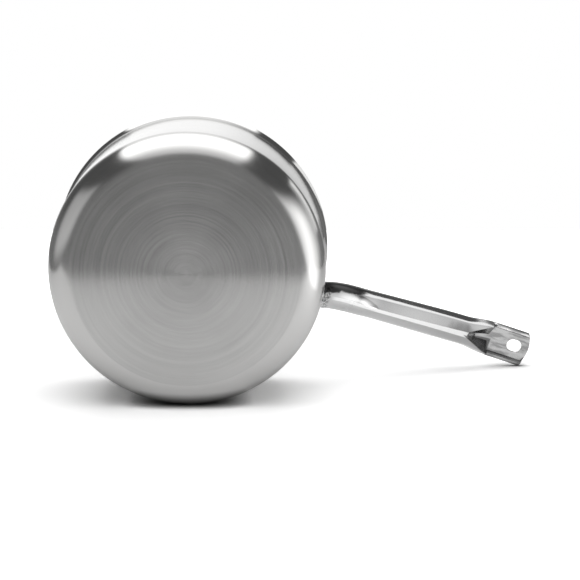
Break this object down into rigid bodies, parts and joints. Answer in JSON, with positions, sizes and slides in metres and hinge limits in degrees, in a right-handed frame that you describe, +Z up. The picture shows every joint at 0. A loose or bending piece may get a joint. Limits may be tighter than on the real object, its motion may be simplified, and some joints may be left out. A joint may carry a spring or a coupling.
{
  "type": "saucepan",
  "caption": "Round straight-walled clad steel saucepan with a brushed base, wide round shoulder, flared pouring lip and a welded pressed tube handle with a hanging hole.",
  "frame": {"origin": "centre of the base's flat underside, on the pan's axis", "axes": "+Z up along the pan's axis from the base to the rim, +X along the handle, away from the pan"},
  "size_m": [0.3824, 0.2058, 0.1435],
  "materials": {
    "outer_steel": "satin wall and shoulder, base brushed in rings",
    "core_aluminium": "bare cut edge at the rim",
    "inner_steel": "satin",
    "handle_steel": "bright polished",
    "weld_metal": "rough weld, dark and bright in patches"
  },
  "bodies": {
    "root": {"outer_skin": "outer_steel", "aluminium_core": "core_aluminium", "inner_skin": "inner_steel", "handle": "handle_steel", "handle_weld": "weld_metal"}
  },
  "joints": []
}
